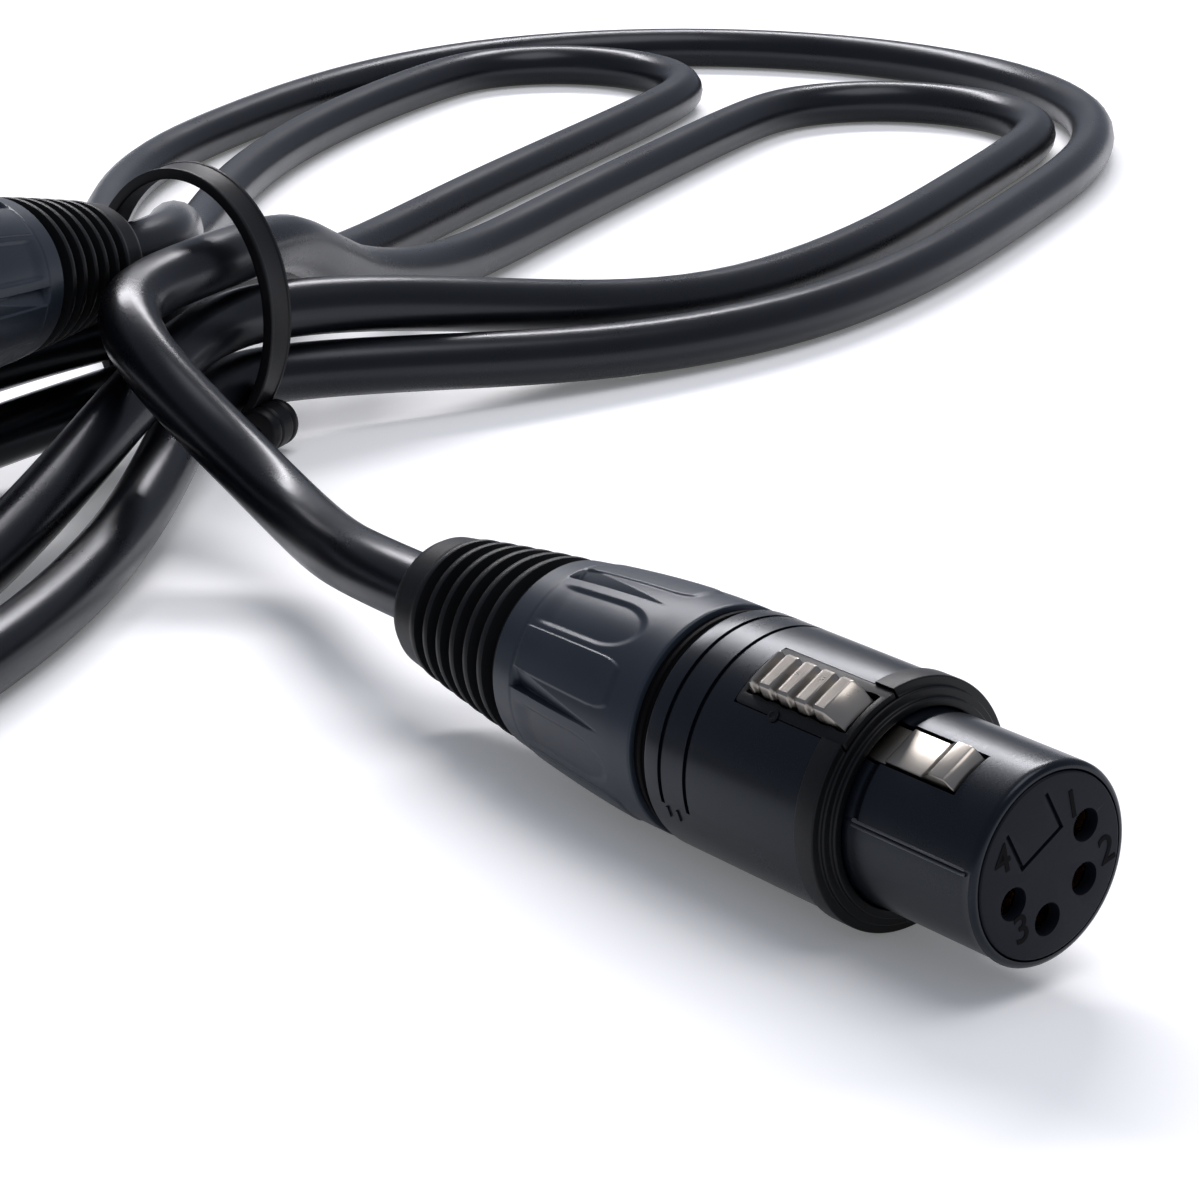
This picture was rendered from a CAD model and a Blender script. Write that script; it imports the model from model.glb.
import math
from collections import namedtuple

import bmesh
import bpy
from mathutils import Matrix, Vector


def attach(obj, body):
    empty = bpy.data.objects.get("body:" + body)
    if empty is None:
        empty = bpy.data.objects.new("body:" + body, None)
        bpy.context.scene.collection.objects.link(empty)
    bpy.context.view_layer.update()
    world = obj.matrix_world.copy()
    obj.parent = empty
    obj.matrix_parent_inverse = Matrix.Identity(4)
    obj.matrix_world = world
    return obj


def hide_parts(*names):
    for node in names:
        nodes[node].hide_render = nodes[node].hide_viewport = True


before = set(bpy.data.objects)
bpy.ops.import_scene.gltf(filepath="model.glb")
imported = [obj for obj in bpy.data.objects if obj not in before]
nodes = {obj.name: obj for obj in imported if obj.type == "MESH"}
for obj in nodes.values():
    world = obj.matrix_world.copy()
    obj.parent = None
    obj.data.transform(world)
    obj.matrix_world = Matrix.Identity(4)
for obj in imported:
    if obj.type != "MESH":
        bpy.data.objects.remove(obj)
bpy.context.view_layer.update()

MM = 0.001
HELD = "cable_set"
LATCH = "latch"

# ---- Sizes in millimetres; s is a place along a connector, back from its mating face ----
NOSE_R = 7.9
NOSE_WALL = 0.7
SHELL_R = 9.8
SHELL_WALL = 0.9
COLLAR_R = 10.1
COLLAR_FRONT = 13.3
COLLAR_BACK = 16.2
SHELL_LENGTH = 33.5
GAP_BACK = 35.3
BUSHING_BACK = 54.5
CONNECTOR_LENGTH = 72.0
BUSHING_FRONT_R = 9.7
BUSHING_REAR_R = 8.2
BOOT_END_R = 5.8
BOOT_GROOVES = 6
CABLE_D = 6.4
CABLE_R = CABLE_D / 2
CONTACT_CIRCLE = 4.15
SOCKET_R = 1.25
LATCH_ANGLE = 120.0
LEVER_FRONT = 4.7
LEVER_HALF = 1.75
LEVER_LOW = 6.0
LEVER_TOP = 7.3
PIVOT_S = 28.0
CHANNEL_HALF = 2.05
CHANNEL_FRONT = 4.4
SLOT_HALF = 3.04
SLOT_FRONT = 13.96
SLOT_BACK = 26.0
CAVITY_R = 8.2
CAVITY_DEPTH = 13.8

ORIGIN_SHIFT = Vector((0.05, 0.27, 0.0))
FEMALE_FACE = Vector((-32.8, -70.8, COLLAR_R)) + ORIGIN_SHIFT
FEMALE_TURN = 67.5
FEMALE_ROLL = 30.0
MALE_BOOT_END = Vector((39.5, 63.5, 22.4)) + ORIGIN_SHIFT
MALE_TILT = 6.0


def turn(degrees, axis):
    return Matrix.Rotation(math.radians(degrees), 4, axis)


ALONG_X = turn(90, "Z") @ turn(90, "X")
FEMALE = (
    Matrix.Translation(FEMALE_FACE) @ turn(FEMALE_TURN, "Z") @ ALONG_X @ turn(-FEMALE_ROLL, "Z")
)
MALE = (
    Matrix.Translation(MALE_BOOT_END)
    @ turn(MALE_TILT, "Y")
    @ ALONG_X
    @ Matrix.Translation((0, 0, -CONNECTOR_LENGTH))
)

# ---- Camera ----
CAMERA_AT = Vector((-0.2436, -0.1464, 0.111)) + ORIGIN_SHIFT * MM
CAMERA_HEADING = 28.0
CAMERA_PITCH = -20.0
SENSOR_MM = 36.0
FOCAL_PIXELS = 3400.0
IMAGE_WIDTH = 1199


def make_camera():
    data = bpy.data.cameras.new("camera")
    data.sensor_width = SENSOR_MM
    data.sensor_fit = "HORIZONTAL"
    data.lens = FOCAL_PIXELS / IMAGE_WIDTH * SENSOR_MM
    data.clip_start = 0.01
    data.clip_end = 20
    camera = bpy.data.objects.new("camera", data)
    camera.location = CAMERA_AT
    camera.rotation_euler = (
        math.radians(90 + CAMERA_PITCH),
        0,
        math.radians(CAMERA_HEADING - 90),
    )
    bpy.context.collection.objects.link(camera)
    bpy.context.scene.camera = camera


make_camera()


# ---- Materials ----
class Wire:
    """A shader value; arithmetic on it adds the nodes that work it out."""

    def __init__(self, finish, socket):
        self.finish = finish
        self.socket = socket

    def _math(self, operation, *values):
        return self.finish.node(
            "ShaderNodeMath", {"operation": operation}, dict(enumerate(values))
        )

    def __add__(self, other):
        return self._math("ADD", self, other)

    __radd__ = __add__

    def __sub__(self, other):
        return self._math("SUBTRACT", self, other)

    def __rsub__(self, other):
        return self._math("SUBTRACT", other, self)

    def __mul__(self, other):
        return self._math("MULTIPLY", self, other)

    __rmul__ = __mul__


class Finish:
    """A material: one Principled shader and the nodes that vary it."""

    def __init__(self, name, **uniform):
        self.material = bpy.data.materials.new(name)
        self.material.use_nodes = True
        self.tree = self.material.node_tree
        self.shader = self.tree.nodes["Principled BSDF"]
        for socket, value in uniform.items():
            self.set(socket.replace("_", " "), value)

    def node(self, kind, settings, values, output=0):
        """Adds a node: its settings first, then the values or links of its sockets."""
        made = self.tree.nodes.new(kind)
        for name, value in settings.items():
            setattr(made, name, value)
        for socket, value in values.items():
            self.put(made.inputs[socket], value)
        return Wire(self, made.outputs[output])

    def put(self, socket, value):
        if isinstance(value, Wire):
            self.tree.links.new(value.socket, socket)
        else:
            socket.default_value = value

    def set(self, name, value):
        self.put(self.shader.inputs[name], value)

    def place(self):
        return self.node("ShaderNodeTexCoord", {}, {}, "Object")

    def ray(self, kind):
        return self.node("ShaderNodeLightPath", {}, {}, kind)

    def stretched(self, vector, scale):
        return self.node("ShaderNodeMapping", {}, {"Vector": vector, "Scale": scale})

    def noise(self, vector, scale, detail=2.0, roughness=0.5):
        values = {"Vector": vector, "Scale": scale, "Detail": detail, "Roughness": roughness}
        return self.node("ShaderNodeTexNoise", {}, values, "Fac")

    def ramp(self, value, low, high):
        values = {"Value": value, "From Min": low, "From Max": high}
        return self.node("ShaderNodeMapRange", {}, values, "Result")

    def mixed(self, mask, a, b):
        """One colour where the mask is 0 and the other where it is 1."""
        return self.node("ShaderNodeMix", {"data_type": "RGBA"}, {0: mask, 6: a, 7: b}, 2)

    def bump(self, height, strength, distance_mm):
        values = {"Height": height, "Strength": strength, "Distance": distance_mm * MM}
        self.set("Normal", self.node("ShaderNodeBump", {}, values, "Normal"))


def rgb(r, g, b):
    return (r, g, b, 1.0)


DRIFT_SCALE = 90.0
GRAIN_GLOSS = 0.06


def worn(name, color, pale, rough, swing, grain, grain_mm, bump, **uniform):
    """A moulded or coated finish: colour and gloss drift a little, and a fine grain lies on it."""
    finish = Finish(name, **uniform)
    at = finish.place()
    drift = finish.noise(at, DRIFT_SCALE, 3.0)
    fine = finish.noise(at, grain, 4.0, 0.6)
    uneven = swing * (finish.ramp(drift, 0.3, 0.7) - 0.5)
    finish.set("Base Color", finish.mixed(finish.ramp(drift, 0.35, 0.7), color, pale))
    finish.set("Roughness", rough + uneven + GRAIN_GLOSS * fine)
    finish.bump(fine, bump, grain_mm)
    return finish.material


SATIN_METAL = worn(
    "satin_black_metal", rgb(0.0015, 0.0024, 0.0045), rgb(0.0025, 0.0036, 0.0062),
    rough=0.26, swing=0.05, grain=2600.0, grain_mm=0.012, bump=0.1,
    Specular_IOR_Level=0.3, Specular_Tint=rgb(0.78, 0.87, 1.0),
)
COLLAR_METAL = worn(
    "matte_black_collar", rgb(0.002, 0.0024, 0.003), rgb(0.003, 0.0034, 0.0042),
    rough=0.42, swing=0.05, grain=2600.0, grain_mm=0.03, bump=0.3,
    Specular_IOR_Level=0.22,
)
FACE_PLASTIC = worn(
    "insert_plastic", rgb(0.0042, 0.0058, 0.0105), rgb(0.006, 0.0078, 0.0135),
    rough=0.5, swing=0.06, grain=2000.0, grain_mm=0.03, bump=0.3,
    Specular_IOR_Level=0.13,
)
BUSHING_PLASTIC = worn(
    "bushing_plastic", rgb(0.012, 0.0165, 0.0245), rgb(0.015, 0.0205, 0.030),
    rough=0.36, swing=0.06, grain=2200.0, grain_mm=0.015, bump=0.2,
    Specular_IOR_Level=0.36, Specular_Tint=rgb(0.85, 0.9, 1.0),
)
BOOT_RUBBER = worn(
    "boot_rubber", rgb(0.004, 0.0045, 0.005), rgb(0.0065, 0.007, 0.008),
    rough=0.42, swing=0.08, grain=1800.0, grain_mm=0.03, bump=0.3,
    Specular_IOR_Level=0.2,
)
GAP_RUBBER = worn(
    "gap_ring_rubber", rgb(0.0015, 0.0015, 0.002), rgb(0.0025, 0.0025, 0.003),
    rough=0.5, swing=0.05, grain=1800.0, grain_mm=0.02, bump=0.2,
    Specular_IOR_Level=0.04,
)
CABLE_JACKET = worn(
    "cable_jacket", rgb(0.002, 0.0022, 0.0035), rgb(0.003, 0.0034, 0.005),
    rough=0.26, swing=0.05, grain=1400.0, grain_mm=0.005, bump=0.05,
    Specular_IOR_Level=0.38, Specular_Tint=rgb(0.85, 0.9, 1.0),
)
TIE_PLASTIC = worn(
    "tie_plastic", rgb(0.003, 0.003, 0.004), rgb(0.005, 0.005, 0.006),
    rough=0.4, swing=0.08, grain=1500.0, grain_mm=0.03, bump=0.3,
    Specular_IOR_Level=0.2,
)
RUBBED_METAL = worn(
    "rubbed_satin_edge", rgb(0.045, 0.048, 0.056), rgb(0.065, 0.068, 0.078),
    rough=0.32, swing=0.06, grain=2600.0, grain_mm=0.01, bump=0.1,
    Specular_IOR_Level=0.5,
)
CLAMP_PLASTIC = worn(
    "clamp_plastic", rgb(0.62, 0.61, 0.56), rgb(0.7, 0.69, 0.64),
    rough=0.45, swing=0.05, grain=1500.0, grain_mm=0.02, bump=0.2,
)
CORE_INSULATION = worn(
    "core_insulation", rgb(0.22, 0.06, 0.05), rgb(0.3, 0.09, 0.07),
    rough=0.35, swing=0.05, grain=900.0, grain_mm=0.01, bump=0.1,
)


def drawn_metal(name, color, pale, rough, streak):
    """Bare metal with fine streaks along one direction."""
    finish = Finish(name, Metallic=1.0)
    at = finish.place()
    lines = finish.noise(finish.stretched(at, streak), 30.0, 3.0, 0.7)
    drift = finish.noise(at, 160.0, 2.0)
    finish.set("Base Color", finish.mixed(finish.ramp(drift, 0.3, 0.75), color, pale))
    finish.set("Roughness", rough + 0.12 * (lines - 0.5) + 0.08 * (drift - 0.5))
    finish.bump(lines, 0.15, 0.01)
    return finish.material


NICKEL = drawn_metal(
    "latch_nickel", rgb(0.29, 0.266, 0.238), rgb(0.36, 0.332, 0.296), 0.3, (40, 8, 40)
)
STEEL = drawn_metal(
    "spring_steel", rgb(0.5, 0.5, 0.48), rgb(0.58, 0.58, 0.56), 0.3, (60, 10, 60)
)
GOLD = drawn_metal(
    "contact_gold", rgb(0.72, 0.5, 0.2), rgb(0.8, 0.58, 0.26), 0.22, (30, 30, 30)
)
SILVER = drawn_metal(
    "contact_silver", rgb(0.72, 0.71, 0.67), rgb(0.8, 0.79, 0.75), 0.22, (30, 30, 30)
)

# ---- Making meshes ----
SHARP_ANGLE = 32.0
BEVEL_ANGLE = 28.0


def smooth(obj):
    obj.data.shade_smooth()
    obj.data.set_sharp_from_angle(angle=math.radians(SHARP_ANGLE))


def skin(rings, closed):
    """Faces over rings of points; unless the skin closes on itself, it has a cap at each end."""
    n = len(rings[0])
    last = (len(rings) - 1) * n
    pairs = [(k, k + 1) for k in range(len(rings) - 1)]
    if closed:
        faces = []
        pairs.append((len(rings) - 1, 0))
    else:
        faces = [tuple(range(n)), tuple(range(last + n - 1, last - 1, -1))]
    for a, b in pairs:
        faces += [
            (a * n + j, a * n + (j + 1) % n, b * n + (j + 1) % n, b * n + j) for j in range(n)
        ]
    return faces


def piece(name, rings, finish, place=FEMALE, body=HELD, closed=False):
    """A mesh piece skinned over rings of points in millimetres; place lays it in the model."""
    mesh = bpy.data.meshes.new(name)
    points = [(place @ Vector(p)) * MM for ring in rings for p in ring]
    mesh.from_pydata(points, [], skin(rings, closed))
    mesh.materials.append(finish)
    shape = bmesh.new()
    shape.from_mesh(mesh)
    bmesh.ops.recalc_face_normals(shape, faces=shape.faces)
    shape.to_mesh(mesh)
    shape.free()
    obj = bpy.data.objects.new(name, mesh)
    bpy.context.collection.objects.link(obj)
    smooth(obj)
    if body:
        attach(obj, body)
    return obj


def settled(obj):
    """Applies the modifiers of a piece, so that its mesh is final."""
    graph = bpy.context.evaluated_depsgraph_get()
    mesh = bpy.data.meshes.new_from_object(obj.evaluated_get(graph))
    old = obj.data
    obj.modifiers.clear()
    obj.data = mesh
    mesh.name = old.name
    bpy.data.meshes.remove(old)
    smooth(obj)


def cut(obj, *cutters, keep=False):
    """Takes the cutters out of a piece, or keeps only what lies inside them."""
    for cutter in cutters:
        modifier = obj.modifiers.new("cut", "BOOLEAN")
        modifier.operation = "INTERSECT" if keep else "DIFFERENCE"
        modifier.solver = "EXACT"
        modifier.object = cutter
    settled(obj)
    for cutter in cutters:
        mesh = cutter.data
        bpy.data.objects.remove(cutter)
        bpy.data.meshes.remove(mesh)


def bevelled(obj, width_mm, steps=3):
    modifier = obj.modifiers.new("bevel", "BEVEL")
    modifier.width = width_mm * MM
    modifier.segments = steps
    modifier.limit_method = "ANGLE"
    modifier.angle_limit = math.radians(BEVEL_ANGLE)
    modifier.harden_normals = False
    settled(obj)


def toward(theta):
    """The unit vector of an angle round the connector, from the right as its front is seen."""
    delta = math.radians(theta - LATCH_ANGLE)
    return math.sin(delta), math.cos(delta)


def softened(rim, size, steps=4):
    """A closed profile with its corners rounded."""
    out = []
    for k, here in enumerate(rim):
        before = Vector(rim[k - 1]) - Vector(here)
        after = Vector(rim[(k + 1) % len(rim)]) - Vector(here)
        reach = min(size, 0.45 * before.length, 0.45 * after.length)
        start = Vector(here) + before.normalized() * reach
        end = Vector(here) + after.normalized() * reach
        for n in range(steps + 1):
            t = n / steps
            bend = (1 - t) ** 2 * start + 2 * t * (1 - t) * Vector(here) + t * t * end
            out.append(tuple(bend))
    return out


def turned(name, rim, finish, place, steps, shape=None, body=HELD):
    """A ring turned from a closed profile of (radius, s); shape moves the outer wall."""
    rings = []
    for k in range(steps):
        theta = 360.0 * k / steps
        x, y = toward(theta)
        reached = [(shape(theta, s, radius) if shape else radius, s) for radius, s in rim]
        rings.append([(r * x, r * y, s) for r, s in reached])
    return piece(name, rings, finish, place, body, closed=True)


def drawn_out(name, outline, axis, low, high, finish, place=FEMALE, body=None):
    """An outline drawn out along "x", "y" or "s"; its points are the other two, in that order."""
    at = "xys".index(axis)
    rings = [[(*p[:at], reach, *p[at:]) for p in outline] for reach in (low, high)]
    return piece(name, rings, finish, place, body)


def block(x_half, y0, y1, s0, s1, place=FEMALE):
    """A plain block, only for cutting."""
    outline = [(y0, s0), (y1, s0), (y1, s1), (y0, s1)]
    return drawn_out("block", outline, "x", -x_half, x_half, COLLAR_METAL, place)


def round_outline(x, y, radius, steps=48):
    angles = [2 * math.pi * k / steps for k in range(steps)]
    return [(x + radius * math.cos(a), y + radius * math.sin(a)) for a in angles]


def stations(first, last, step):
    count = max(1, round((last - first) / step))
    return [first + (last - first) * k / count for k in range(count + 1)]


def eased(value, low, high):
    """Rises from 0 to 1 between low and high, with a soft start and end."""
    t = min(1.0, max(0.0, (value - low) / (high - low)))
    return t * t * (3 - 2 * t)


def dress(finish, *names):
    """Gives carried-over CAD nodes their finish."""
    for name in names:
        nodes[name].data.materials.clear()
        nodes[name].data.materials.append(finish)
        smooth(nodes[name])


# ---- The cable: one jacket from boot to boot ----
HANK_TURN = 3.0
TIE_AT = Vector((49.0, 59.2, 0.0)) + ORIGIN_SHIFT
HOLD = 5.0
# Where each strand passes through the tie, and how far out it comes down to the floor
LOW_LEFT = (-3.7, 7.0, 45.0)
LOW_RIGHT = (3.7, 7.0, 45.0)
MID_LEFT = (-4.2, 14.1, 66.0)
MID_RIGHT = (4.2, 14.1, 62.0)
TOP_LEFT = (-4.4, 21.3, 58.0)
TOP_RIGHT = (4.4, 21.3, 58.0)
# A loop of the hank: its side (1 far, -1 near), its two lines, and how each leaves the tie
Loop = namedtuple("Loop", "end front back reach front_place back_place front_spread back_spread")
LOOP_A = Loop(1, -51, 74, 225, LOW_LEFT, LOW_RIGHT, 90, 120)
LOOP_B = Loop(1, -40, 5, 192, MID_LEFT, TOP_LEFT, 105, 95)
LOOP_C = Loop(1, 20, 62, 197, MID_RIGHT, TOP_RIGHT, 95, 145)
LOOP_D = Loop(-1, -24, 40, 210, LOW_LEFT, MID_RIGHT, 85, 90)
LOOP_E = Loop(-1, -14, 30, 192, MID_LEFT, LOW_RIGHT, 105, 110)
FEMALE_POINTS = [
    (7, 15, 8.2), (14.5, 23.5, 7.6), (19, 33, 10.8), (20.5, 42, 16.2),
    (24, 49.5, 20.2), (31.5, 54.2, 21.3), (40.5, 54.8, 21.3),
]
MALE_POINTS = [(54, 64.6, 21.3)]
FEMALE_STEP = 12
MALE_STEP = 7
SPLINE_STEPS = 6


def on_hank(p):
    return TIE_AT + turn(HANK_TURN, "Z") @ Vector(p)


def run_point(end, line, p, place, spread):
    """A place at distance p from the tie, as a strand spreads to its line and comes down."""
    out = math.sin(math.pi / 2 * min(1, max(0, p - HOLD) / (spread - HOLD)))
    down = 0.5 - 0.5 * math.cos(math.pi * min(1, max(0, p - HOLD) / place[2]))
    across = place[0] + (line - place[0]) * out
    return Vector((end * p, across, place[1] + (CABLE_R - place[1]) * down))


def front_point(loop, p):
    return run_point(loop.end, loop.front, p, loop.front_place, loop.front_spread)


def back_point(loop, p):
    return run_point(loop.end, loop.back, p, loop.back_place, loop.back_spread)


def run_steps(loop):
    last = loop.reach - (loop.back - loop.front) / 2
    return [7, 20, 40, 66, 100, (100 + last) / 2, last]


def front_run(loop):
    return [front_point(loop, p) for p in run_steps(loop)]


def back_run(loop):
    return [back_point(loop, p) for p in run_steps(loop)]


def bight(loop):
    """The half circle at a loop's far end."""
    half = (loop.back - loop.front) / 2
    middle = (loop.back + loop.front) / 2
    angles = [math.radians(-90 + k * 30) for k in range(1, 6)]
    return [
        Vector((
            loop.end * (loop.reach - half + half * math.cos(a)),
            middle + half * math.sin(a),
            CABLE_R,
        ))
        for a in angles
    ]


def straight_end(loop):
    """The first stretch of a strand whose other side is a lead."""
    a = back_point(loop, 16)
    b = back_point(loop, 40)
    return [a + (b - a) * k / 3 for k in range(4)]


def from_front(loop):
    return front_run(loop) + bight(loop) + back_run(loop)[::-1]


def in_tie(place):
    return [Vector((0, place[0], place[1]))]


def hank_points():
    start = straight_end(LOOP_B) + back_run(LOOP_B)[3:]
    start += bight(LOOP_B)[::-1] + front_run(LOOP_B)[::-1]
    end = front_run(LOOP_C) + bight(LOOP_C)
    end += back_run(LOOP_C)[3:][::-1] + straight_end(LOOP_C)[::-1]
    points = start + in_tie(MID_LEFT) + from_front(LOOP_E)
    points += in_tie(LOW_RIGHT) + from_front(LOOP_A)[::-1]
    points += in_tie(LOW_LEFT) + from_front(LOOP_D)
    points += in_tie(MID_RIGHT) + end
    return [on_hank(p) for p in points]


def cable_points():
    heading = math.radians(FEMALE_TURN)
    tilt = math.radians(MALE_TILT)
    back = Vector((math.cos(heading), math.sin(heading), 0))
    down = Vector((math.cos(tilt), 0, -math.sin(tilt)))
    boot_end = FEMALE_FACE + CONNECTOR_LENGTH * back
    lead = [boot_end + FEMALE_STEP * k * back for k in (-1, 0, 1)]
    lead += [Vector(p) + ORIGIN_SHIFT for p in FEMALE_POINTS]
    lead += [on_hank(in_tie(TOP_LEFT)[0])]
    tail = [Vector(p) + ORIGIN_SHIFT for p in MALE_POINTS]
    tail += [MALE_BOOT_END + MALE_STEP * k * down for k in (1, 0, -1)]
    return lead + hank_points() + tail


def along_spline(points, steps):
    """Places along a uniform cubic B-spline, with its exact ends."""
    line = []
    for k in range(len(points) - 3):
        a, b, c, d = points[k : k + 4]
        for n in range(steps):
            t = n / steps
            s = 1 - t
            near = 3 * t**3 - 6 * t * t + 4
            far = 3 * s**3 - 6 * s * s + 4
            line.append((s**3 * a + near * b + far * c + t**3 * d) / 6)
    line.append((points[-3] + 4 * points[-2] + points[-1]) / 6)
    return line


def make_cable():
    line = along_spline(cable_points(), SPLINE_STEPS)
    curve = bpy.data.curves.new("cable", "CURVE")
    curve.dimensions = "3D"
    curve.twist_mode = "Z_UP"
    curve.bevel_depth = CABLE_R * MM
    curve.bevel_resolution = 6
    curve.use_fill_caps = True
    spline = curve.splines.new("POLY")
    spline.points.add(len(line) - 1)
    for point, at in zip(spline.points, line):
        point.co = (*(at * MM), 1.0)
    spline.use_smooth = True
    curve.materials.append(CABLE_JACKET)
    cable = bpy.data.objects.new("cable", curve)
    bpy.context.collection.objects.link(cable)
    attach(cable, HELD)
    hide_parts("cable_lead_female", "cable_hank", "cable_lead_male")
    length = sum((b - a).length for a, b in zip(line, line[1:])) * MM
    return cable, line[0] * MM, length


cable, cable_exit, cable_length = make_cable()

# ---- The tie round the hank ----
TIE_HALF_WIDTH = 11.5
TIE_HEIGHT = 31.0
TIE_THICK = 1.2
TIE_BAND = 4.2
TIE_RIM = 0.12
HEAD_R = 2.6
HEAD_FLAT = 0.6


def make_tie_strap():
    """An oval band; its section is a flat with round edges and a raised rim."""
    half = TIE_BAND / 2
    section = softened(
        [(0, -half), (0.0, -half + 0.5), (-TIE_RIM, -half + 0.6), (-TIE_RIM, half - 0.6),
         (0, half - 0.5), (0, half), (-TIE_THICK, half), (-TIE_THICK, -half)],
        0.25,
    )
    steps = 160
    middle = TIE_HEIGHT / 2
    rings = []
    for k in range(steps):
        a = 2 * math.pi * k / steps
        ring = []
        for grow, u in section:
            v = (TIE_HALF_WIDTH + grow) * math.cos(a)
            ring.append(on_hank((u, v, middle + (middle + grow) * math.sin(a))))
        rings.append(ring)
    strap = piece("tie_band", rings, TIE_PLASTIC, Matrix.Identity(4), closed=True)
    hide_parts("tie_strap")
    return strap


def make_tie_head():
    """The knob of the tie: a short rounded drum with two ribs."""
    across = HEAD_R - TIE_HALF_WIDTH - 0.4
    rim = [(HEAD_FLAT, -HEAD_R), (HEAD_R - 0.3, -HEAD_R)]
    for s in (-1.2, 1.2):
        rim += [(HEAD_R, s - 0.7), (HEAD_R, s - 0.25), (HEAD_R - 0.25, s), (HEAD_R, s + 0.25)]
    rim += [(HEAD_R, HEAD_R - 0.6), (HEAD_R - 0.3, HEAD_R), (HEAD_FLAT, HEAD_R)]
    where = (
        Matrix.Translation(TIE_AT)
        @ turn(HANK_TURN, "Z")
        @ Matrix.Translation((0, across, HEAD_R + 0.6))
        @ ALONG_X
    )
    head = turned("tie_knob", softened(rim, 0.25), TIE_PLASTIC, where, 48)
    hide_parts("tie_head")
    return head


strap = make_tie_strap()
knob = make_tie_head()

# ---- Female connector: shell ----
PARTING = 170.0
UPPER_SINK = 0.14
LOWER_STEP = 0.3
RIB_R = NOSE_R - 0.2
RIB_HIGH = 0.34
RIB_HALF = 0.15
RIB_APART = 1.3
# How far along the nose each section of a rib lies, and how full it is
RIB_SECTIONS = ((1.0, 0.5), (1.2, 0.9), (1.5, 1.0), (12.2, 1.0), (12.5, 0.7))
GROOVES = (28.5, 31.4)
GROOVE_WIDTH = 0.42
GROOVE_DEPTH = 0.28
GROOVE_FROM = -18
GROOVE_TO = 198
MARK_ANGLE = 202
MARKS = (29.9, 31.05)


def nose_shape(theta, s, r):
    """The upper half of the nose stands a little proud of the lower, and ends in a step."""
    if r < NOSE_R - 0.05 or s < 0.6 or s > COLLAR_FRONT + 0.2:
        return r
    if (theta - PARTING) % 360 > 180:
        return r - LOWER_STEP * eased(s, 12.0, 12.2)
    return r - UPPER_SINK


def make_parting_ribs():
    """Two fine half-round ribs, rubbed pale, along each side of the nose."""
    arc = [math.radians(a) for a in range(0, 181, 20)]
    for side, middle in (("left", PARTING), ("right", PARTING - 180)):
        for row, theta in (("upper", middle - RIB_APART), ("lower", middle + RIB_APART)):
            x, y = toward(theta)
            across_x, across_y = toward(theta + 90)
            sections = []
            for s, grow in RIB_SECTIONS:
                section = []
                for a in arc:
                    high = RIB_R + RIB_HIGH * grow * math.sin(a)
                    wide = RIB_HALF * math.cos(a)
                    section.append((high * x + wide * across_x, high * y + wide * across_y, s))
                sections.append(section)
            rib = piece(f"nose_rib_{side}_{row}", sections, RUBBED_METAL)


def shell_rim():
    """The casting's profile: the nose's round lip, its outer wall, then the barrel and the bore."""
    bore = NOSE_R - NOSE_WALL
    inside = SHELL_R - SHELL_WALL
    lip = [(bore + 0.1, 0.1), (NOSE_R - 0.45, 0.1)]
    lip += [
        (NOSE_R - 0.5 + 0.5 * math.sin(math.radians(d)), 0.6 - 0.5 * math.cos(math.radians(d)))
        for d in (15, 35, 55, 75)
    ]
    step = [11.95, 12.05, 12.15, 12.25, 12.8, COLLAR_FRONT + 0.4]
    nose = [(NOSE_R, s) for s in stations(0.8, 11.8, 0.5) + step]
    barrel = softened(
        [(NOSE_R, COLLAR_FRONT + 1.2), (NOSE_R, COLLAR_BACK + 0.01), (SHELL_R, COLLAR_BACK + 0.01),
         (SHELL_R, SHELL_LENGTH), (inside, SHELL_LENGTH), (inside, 21.5), (bore, 20), (bore, 0.2)],
        0.25,
    )
    return lip + nose + barrel


def groove_cutter(s):
    """A ring segment that cuts an engraved line, open at the underside."""
    low, high = SHELL_R - GROOVE_DEPTH, SHELL_R + 0.5
    section = [(low, s), (low, s + GROOVE_WIDTH), (high, s + GROOVE_WIDTH), (high, s)]
    sections = []
    for theta in stations(GROOVE_FROM, GROOVE_TO, 2):
        x, y = toward(theta)
        sections.append([(r * x, r * y, z) for r, z in section])
    return piece("groove", sections, COLLAR_METAL, body=None)


def make_female_shell():
    shell = turned("female_shell_casting", shell_rim(), SATIN_METAL, FEMALE, 360, nose_shape)
    channel = block(CHANNEL_HALF, 4, 12, CHANNEL_FRONT, COLLAR_BACK + 1)
    slot = block(SLOT_HALF, 4, 12, SLOT_FRONT, SLOT_BACK)
    cut(shell, channel, slot, *[groove_cutter(s) for s in GROOVES])
    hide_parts("female_shell")
    mark_at = FEMALE @ turn(LATCH_ANGLE - MARK_ANGLE, "Z")
    for number, s in enumerate(MARKS):
        outline = [(9.6, s), (9.92, s + 0.06), (9.92, s + 0.24), (9.6, s + 0.3)]
        mark = drawn_out(
            f"shell_mark_{number}", outline, "x", -0.5, 0.5, SATIN_METAL, mark_at, HELD
        )


def make_female_collar():
    inner = NOSE_R + 0.04
    ledge = COLLAR_FRONT + 0.45
    front = COLLAR_FRONT + 0.85
    rim = softened(
        [(inner, COLLAR_FRONT), (NOSE_R + 0.75, COLLAR_FRONT), (NOSE_R + 0.75, ledge),
         (COLLAR_R - 0.75, ledge), (COLLAR_R - 0.75, front), (COLLAR_R, front),
         (COLLAR_R, COLLAR_BACK), (inner, COLLAR_BACK)],
        0.16,
    )
    collar = turned("female_collar_ring", rim, COLLAR_METAL, FEMALE, 240)
    cut(collar, block(SLOT_HALF, 4, 12, SLOT_FRONT, COLLAR_BACK + 1))
    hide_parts("female_collar")


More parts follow.
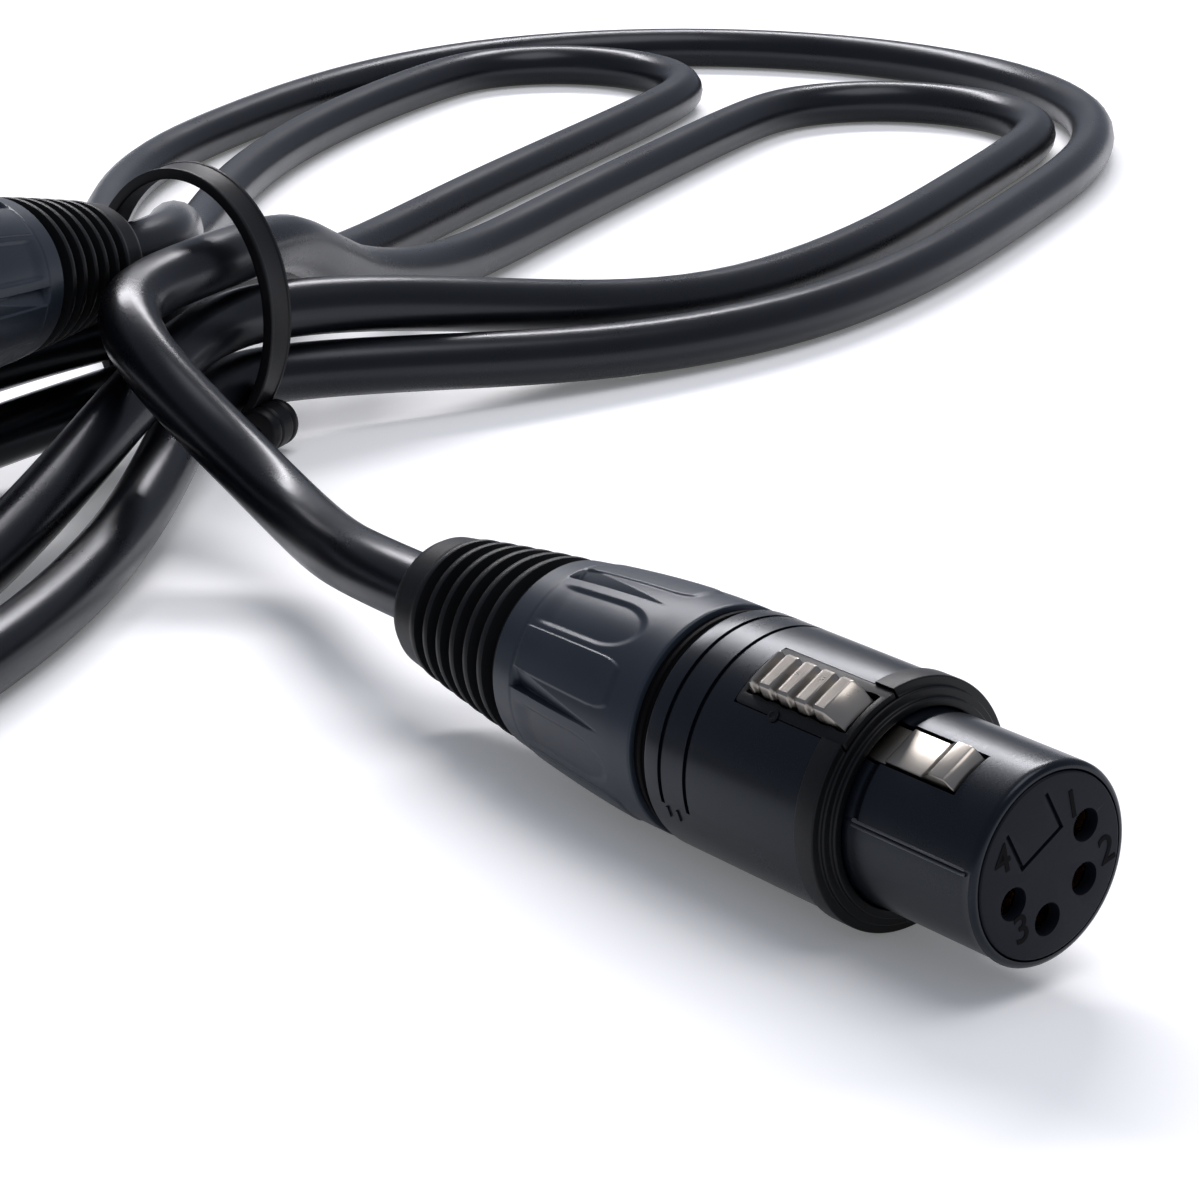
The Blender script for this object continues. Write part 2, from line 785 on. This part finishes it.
# ---- Female connector: face ----
INSERT_LENGTH = 20
CONTACT_ANGLES = (-93, -31, 31, 93)
KEY_LINE = 0.34
KEY_DEPTH = 0.32
KEY_HALF = 2.2
KEY_LOW = 2
KEY_TOP = 5.5
# Where each number stands on the face: (to the right, up)
NUMERALS = {"1": (2.0, 4.2), "2": (5.9, -0.4), "3": (-2.7, -4.2), "4": (-5.0, 1.8)}
NUMERAL_UP = 105.0
NUMERAL_SIZE = 3.3
NUMERAL_PROUD = 0.04
NUMERAL_BOLDER = 0.03


def contact_places():
    angles = [math.radians(a - 90) for a in CONTACT_ANGLES]
    return [(CONTACT_CIRCLE * math.cos(a), CONTACT_CIRCLE * math.sin(a)) for a in angles]


def key_outline():
    """The engraved corner of the polarising key, as a line of even width."""
    out, inside = KEY_HALF + KEY_LINE / 2, KEY_HALF - KEY_LINE / 2
    low, high = KEY_LOW - KEY_LINE / 2, KEY_LOW + KEY_LINE / 2
    return [
        (-out, KEY_TOP), (-out, low), (out, low), (out, KEY_TOP),
        (inside, KEY_TOP), (inside, high), (-inside, high), (-inside, KEY_TOP),
    ]


def make_female_insert():
    radius = NOSE_R - NOSE_WALL - 0.05
    corners = [(0.02, 0), (radius, 0), (radius, INSERT_LENGTH), (0.02, INSERT_LENGTH)]
    outer_corners = softened(corners, 0.18)[5:15]
    rim = [(0.01, 0), *outer_corners, (0.01, INSERT_LENGTH)]
    insert = turned("female_insert_block", rim, FACE_PLASTIC, FEMALE, 180)
    cutters = [drawn_out("key", key_outline(), "s", -1, KEY_DEPTH, FACE_PLASTIC)]
    for x, y in contact_places():
        hole = round_outline(x, y, SOCKET_R + 0.04)
        well = round_outline(x, y, SOCKET_R + 0.49)
        cutters.append(drawn_out("hole", hole, "s", -1, 1.2, FACE_PLASTIC))
        cutters.append(drawn_out("well", well, "s", 1.1, INSERT_LENGTH + 1, FACE_PLASTIC))
    cutters.append(block(2.25, 3.87, 9, CHANNEL_FRONT, INSERT_LENGTH + 1))
    cut(insert, *cutters)
    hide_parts("female_insert")


def numeral_place(right, up):
    """Lays a number on the face, upright as the front is seen."""
    reach = math.hypot(right, up)
    x, y = toward(math.degrees(math.atan2(up, right)))
    up_x, up_y = toward(NUMERAL_UP)
    right_x, right_y = toward(NUMERAL_UP - 90)
    return FEMALE @ Matrix((
        (right_x, up_x, 0, reach * x),
        (right_y, up_y, 0, reach * y),
        (0, 0, -1, 0),
        (0, 0, 0, 1),
    ))


def make_numerals():
    for text, (right, up) in NUMERALS.items():
        curve = bpy.data.curves.new("numeral_" + text, "FONT")
        curve.body = text
        curve.size = NUMERAL_SIZE
        curve.extrude = NUMERAL_PROUD
        curve.offset = NUMERAL_BOLDER
        curve.align_x = "CENTER"
        curve.align_y = "CENTER"
        made = bpy.data.objects.new("numeral_curve", curve)
        bpy.context.collection.objects.link(made)
        graph = bpy.context.evaluated_depsgraph_get()
        mesh = bpy.data.meshes.new_from_object(made.evaluated_get(graph))
        bpy.data.objects.remove(made)
        bpy.data.curves.remove(curve)
        mesh.transform(Matrix.Diagonal((MM, MM, MM, 1)) @ numeral_place(right, up))
        mesh.materials.clear()
        mesh.materials.append(GAP_RUBBER)
        numeral = bpy.data.objects.new("face_numeral_" + text, mesh)
        bpy.context.collection.objects.link(numeral)
        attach(numeral, HELD)


# ---- Female connector: latch ----
BUTTON_FIRST = 15.2
BUTTON_LAST = 25.0
BUTTON_TOP = 10.9
BUTTON_ROOT = 6.5
BUTTON_HALF = 1.85
BUTTON_TEETH = 4
BUTTON_SLOPE = 1.5
BUTTON_TAIL = 0.4
BUTTON_STEP = 0.09
# The hook's side, as (height, s)
HOOK = [
    (6.5, 4.7), (7.45, 4.7), (8.35, 5.25), (8.5, 5.5), (8.5, 6.9),
    (7.75, 7.9), (7.7, 8.1), (7.7, 11.7), (7.4, 11.8), (6.5, 11.8),
]
# The side of an ear that holds the pin, as (height, s)
EAR = [(5.4, 25.8), (8.7, 25.8), (8.7, 29.4), (8.4, 29.7), (5.8, 29.7), (5.4, 29.3)]
EAR_X = 2.4
BOSS_TURN = -17.2
BOSS_S = 21.6


def button_section(s):
    """Across the thumb button: ridges stand up and out, with hollows between them."""
    front = BUTTON_FIRST + BUTTON_SLOPE
    beat = (s - front) / (BUTTON_LAST - BUTTON_TAIL - front) * BUTTON_TEETH
    hollow = 0.0
    if s > front:
        t = beat - math.floor(beat)
        hollow = eased(t, 0.5, 0.68) * (1 - eased(t, 0.82, 1.0))
    slope = max(0.0, (front - s) / BUTTON_SLOPE)
    tail = max(0.0, (s - BUTTON_LAST + BUTTON_TAIL) / BUTTON_TAIL)
    top = BUTTON_TOP - 0.5 * hollow - 1.55 * slope**1.3 - 0.5 * tail**2
    half = BUTTON_HALF - 0.24 * hollow - 0.12 * slope
    return [
        (-half, BUTTON_ROOT, s), (-half, top - 0.45, s), (-half + 0.1, top - 0.16, s),
        (-half + 0.35, top, s), (half - 0.35, top, s), (half - 0.1, top - 0.16, s),
        (half, top - 0.45, s), (half, BUTTON_ROOT, s),
    ]


def make_latch():
    """The lever with its hook and thumb button, and the eye on the pin."""
    half = LEVER_HALF
    side = [
        (LEVER_LOW, LEVER_FRONT), (LEVER_TOP - 0.1, LEVER_FRONT), (LEVER_TOP, 11.8),
        (LEVER_TOP, PIVOT_S), (LEVER_LOW, PIVOT_S),
    ]
    beam = drawn_out("latch_beam", side, "x", -half, half, NICKEL, body=LATCH)
    bevelled(beam, 0.12)
    hook = drawn_out("latch_hook", HOOK, "x", -half, half, NICKEL, body=LATCH)
    bevelled(hook, 0.1)
    rows = [button_section(s) for s in stations(BUTTON_FIRST, BUTTON_LAST, BUTTON_STEP)]
    button = piece("latch_button", rows, NICKEL, body=LATCH)
    eye_rim = softened([(0.65, -half), (1.15, -half), (1.15, half), (0.65, half)], 0.1, 2)
    pin_at = Matrix.Translation((0, (LEVER_LOW + LEVER_TOP) / 2, PIVOT_S))
    eye = turned("latch_eye", eye_rim, NICKEL, FEMALE @ pin_at @ turn(90, "Y"), 32, body=LATCH)
    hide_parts("latch_lever")


def pocket_outline():
    """The waved opening round the button, as (x, s)."""
    wave = []
    for s in stations(14.6, 25.4, 0.2):
        t = (s - BUTTON_FIRST - BUTTON_SLOPE) / (BUTTON_LAST - 1.9 - BUTTON_FIRST) * BUTTON_TEETH
        swell = 0.5 + 0.5 * math.cos(2 * math.pi * (t - 0.75))
        wave.append((BUTTON_HALF + 0.22 - 0.12 * swell, s))
    return wave + [(-x, s) for x, s in wave[::-1]]


def make_carrier():
    """The dark frame round the button: its top follows the shell, its inner edge is waved."""
    outer = softened([(-2.95, 14.05), (2.95, 14.05), (2.95, 25.9), (-2.95, 25.9)], 0.4)
    carrier = drawn_out("latch_frame", outer, "y", 7.6, 10.2, COLLAR_METAL, body=HELD)
    crown = round_outline(0, 0, SHELL_R + 0.04, 180)
    cut(carrier, drawn_out("crown", crown, "s", 10, 30, COLLAR_METAL), keep=True)
    cut(carrier, drawn_out("pocket", pocket_outline(), "y", 7, 12, COLLAR_METAL))
    bevelled(carrier, 0.06, 2)
    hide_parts("latch_carrier")
    for side, x in (("left", -EAR_X), ("right", EAR_X)):
        place = FEMALE @ Matrix.Translation((x, 0, 0))
        name = "latch_frame_ear_" + side
        ear = drawn_out(name, EAR, "x", -0.5, 0.5, COLLAR_METAL, place, HELD)
    rim = softened(
        [(0.01, 0.0), (0.5, 0.0), (0.5, 0.16), (0.28, 0.2), (0.26, 0.1), (0.01, 0.1)], 0.05, 2
    )
    boss_at = (
        FEMALE
        @ turn(BOSS_TURN, "Z")
        @ Matrix.Translation((0, SHELL_R + 0.02, BOSS_S))
        @ turn(-90, "X")
    )
    boss = turned("latch_frame_boss", rim, COLLAR_METAL, boss_at, 28)


make_female_shell()
make_parting_ribs()
make_female_collar()
make_female_insert()
make_numerals()
make_latch()
make_carrier()

# ---- What both connectors have ----
WEDGE_STEP = 72.0
WEDGE_AT = 105.7
WEDGE_DEPTH = 0.95
DENT_DEPTH = 0.22
PAD_HEIGHT = 0.13
RIM_HEIGHT = 0.05
SPIGOT_FRONT = 31.0
GRIP_STEP = 0.14
END_LIP = 3.7
BOOT_GROOVE_DEPTH = 1.25


def bushing_radius(s):
    """The outline narrows in one long easy curve towards the boot."""
    start = GAP_BACK + 2.5
    t = min(1.0, max(0.0, (s - start) / (BUSHING_BACK - start)))
    return BUSHING_FRONT_R + (BUSHING_REAR_R - BUSHING_FRONT_R) * t**1.55


def bushing_shape(theta, s, r):
    """Five wedge grooves with one steep wall, and between them a finger dent and a low pad."""
    if r < bushing_radius(s) - 0.05 or s < GAP_BACK + 0.3:
        return r
    past_wall = (WEDGE_AT - theta) % WEDGE_STEP
    along = min(1.0, max(0.0, (s - 38.8) / 12.2))
    inside = 1 - eased(s, 51.2, 51.7)
    groove = max(0.0, 1 - past_wall / max(0.3, 12.5 * along)) * min(1.0, past_wall / 0.8)
    r -= WEDGE_DEPTH * along**0.9 * groove * inside
    from_dent = WEDGE_STEP - past_wall - 19.5
    dent = abs(from_dent) / 14.0
    if s < 43.0:
        dent = math.hypot(dent, (43.0 - s) / 4.4)
    r -= DENT_DEPTH * (1 - eased(dent, 0.78, 1.02)) * (1 - eased(s, 49.0, 51.4))
    from_pad = WEDGE_STEP - past_wall - 48.5
    pad = math.hypot(max(0, abs(from_pad) - 8.0) / 4.5, max(0, 41.0 - s) / 2.6)
    r += PAD_HEIGHT * (1 - eased(pad, 0.78, 1.02)) * (1 - eased(s, 51.0, 51.6))
    return r + RIM_HEIGHT * eased(s, 51.6, 51.8)


def make_bushing(name, place):
    grip = stations(GAP_BACK + 0.25, BUSHING_BACK - 0.25, GRIP_STEP)
    rim = [
        (8.35, SPIGOT_FRONT), (8.35, GAP_BACK + 0.01), (BUSHING_FRONT_R - 0.25, GAP_BACK + 0.01),
        (BUSHING_FRONT_R - 0.08, GAP_BACK + 0.09), *[(bushing_radius(s), s) for s in grip],
        (BUSHING_REAR_R - 0.08, BUSHING_BACK - 0.06), (BUSHING_REAR_R - 0.3, BUSHING_BACK),
        (4.2, BUSHING_BACK), (4.2, BUSHING_BACK - 2.4), (6.3, BUSHING_BACK - 2.96),
        (7.5, BUSHING_BACK - 8), (7.5, SPIGOT_FRONT),
    ]
    bushing = turned(name + "_bushing_body", rim, BUSHING_PLASTIC, place, 720, bushing_shape)
    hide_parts(name + "_bushing")


def boot_radius(s):
    t = (s - BUSHING_BACK) / (CONNECTOR_LENGTH - BUSHING_BACK)
    front = BUSHING_REAR_R - 0.1
    return front + (BOOT_END_R - front) * t**1.15


def make_boot(name, place):
    """A rubber sleeve with round ribs, and a smooth lip where the cable leaves it."""
    bore = CABLE_R + 0.04
    pitch = (CONNECTOR_LENGTH - BUSHING_BACK - END_LIP - 0.35) / BOOT_GROOVES
    rim = [(bore, BUSHING_BACK + 0.02), (BUSHING_REAR_R - 0.55, BUSHING_BACK + 0.02)]
    for k in range(BOOT_GROOVES):
        start = BUSHING_BACK + 0.35 + k * pitch
        for n in range(16):
            t = n / 16
            s = start + t * pitch
            dip = BOOT_GROOVE_DEPTH * (1 - eased(abs(t - 0.3), 0.18, 0.34))
            crown = 0.12 * math.sin(math.pi * min(1, max(0, (t - 0.55) / 0.45)))
            rim.append((boot_radius(s) - dip + crown, s))
    lip = stations(CONNECTOR_LENGTH - END_LIP, CONNECTOR_LENGTH - 1.1, 0.25)
    rim += [(boot_radius(s), s) for s in lip]
    for d in range(15, 91, 15):
        a = math.radians(d)
        rim.append((BOOT_END_R - 1.0 + math.cos(a), CONNECTOR_LENGTH - 1.0 + math.sin(a)))
    rim.append((bore, CONNECTOR_LENGTH))
    boot = turned(name + "_boot_sleeve", rim, BOOT_RUBBER, place, 160)
    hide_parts(name + "_boot")


def make_gap_ring(name, place):
    """The dark ring between shell and bushing, with a low bead round its middle."""
    inner, wall, bead = 8.4, 9.25, 9.45
    rim = softened(
        [(inner, SHELL_LENGTH), (wall, SHELL_LENGTH), (wall, 34.2), (bead, 34.3), (bead, 34.7),
         (wall, 34.8), (wall, GAP_BACK), (inner, GAP_BACK)],
        0.08,
    )
    ring = turned(name + "_gap_band", rim, GAP_RUBBER, place, 180)
    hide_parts(name + "_gap_ring")


for connector, place in (("female", FEMALE), ("male", MALE)):
    make_bushing(connector, place)
    make_boot(connector, place)
    make_gap_ring(connector, place)


# ---- Male connector ----
def make_male_shell():
    outer, inside = SHELL_R - 0.1, SHELL_R - SHELL_WALL
    back = CAVITY_DEPTH + 8
    rim = softened(
        [(CAVITY_R, 0), (outer, 0), (outer, SHELL_LENGTH), (inside, SHELL_LENGTH),
         (inside, back + 1), (CAVITY_R, back)],
        0.35,
    )
    shell = turned("male_shell_casting", rim, SATIN_METAL, MALE, 240)
    cut(shell, block(CHANNEL_HALF, CAVITY_R - 2, CAVITY_R + 0.9, 5.1, 9.0, MALE))
    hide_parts("male_shell")


make_male_shell()

# ---- CAD nodes that show as they are ----
dress(GOLD, *[f"female_contact_{k}" for k in (1, 2, 3, 4)])
dress(SILVER, *[f"male_pin_{k}" for k in (1, 2, 3, 4)])
dress(STEEL, "latch_pin", "latch_spring", "female_ground_contact", "male_ground_contact")
dress(FACE_PLASTIC, "male_insert")
dress(CLAMP_PLASTIC, "female_clamp", "male_clamp")
dress(CABLE_JACKET, "female_cable_tail", "male_cable_tail")
dress(CORE_INSULATION, "female_wires", "male_wires")

# ---- Floor and light ----
FLOOR_HALF = 3.0
FLOOR_GLOW = rgb(0.13, 0.13, 0.125)
WORLD_LEVEL = 0.37


def make_floor():
    """A pale floor that keeps its shadow, and shows a little whiter than it is lit."""
    finish = Finish(
        "floor", Base_Color=rgb(0.955, 0.957, 0.975), Roughness=0.6, Specular_IOR_Level=0.2,
        Emission_Strength=1.0,
    )
    seen = (
        finish.ray("Is Camera Ray")
        + finish.ray("Is Glossy Ray")
        + finish.ray("Is Transmission Ray")
    )
    finish.set("Emission Color", finish.mixed(seen, rgb(0, 0, 0), FLOOR_GLOW))
    half = FLOOR_HALF
    corners = [(-half, -half, 0), (half, -half, 0), (half, half, 0), (-half, half, 0)]
    mesh = bpy.data.meshes.new("floor")
    mesh.from_pydata(corners, [], [(0, 1, 2, 3)])
    mesh.materials.append(finish.material)
    floor = bpy.data.objects.new("floor", mesh)
    bpy.context.collection.objects.link(floor)


def lamp(name, heading, distance, height, width, depth, power, color):
    """A soft panel at a heading from the camera's own, aimed at the object."""
    data = bpy.data.lights.new(name, "AREA")
    data.shape = "RECTANGLE"
    data.size = width
    data.size_y = depth
    data.energy = power
    data.color = color
    obj = bpy.data.objects.new(name, data)
    a = math.radians(CAMERA_HEADING + heading)
    obj.location = (distance * math.cos(a), distance * math.sin(a), height)
    aim = Vector((0, 0, 0.01)) - obj.location
    obj.rotation_euler = aim.to_track_quat("-Z", "Y").to_euler()
    bpy.context.collection.objects.link(obj)


def make_world():
    world = bpy.data.worlds.new("studio")
    world.use_nodes = True
    background = world.node_tree.nodes["Background"]
    background.inputs["Color"].default_value = rgb(0.76, 0.83, 1.0)
    background.inputs["Strength"].default_value = WORLD_LEVEL
    bpy.context.scene.world = world


make_floor()
make_world()
lamp(
    "back_panel", heading=6, distance=1.05, height=0.86, width=0.95, depth=0.2, power=14.0,
    color=(1.0, 0.975, 0.99),
)
lamp(
    "top_panel", heading=-110, distance=0.35, height=1.2, width=0.8, depth=0.8, power=6.2,
    color=(1.0, 0.98, 0.98),
)
bpy.context.scene.view_settings.view_transform = "Standard"
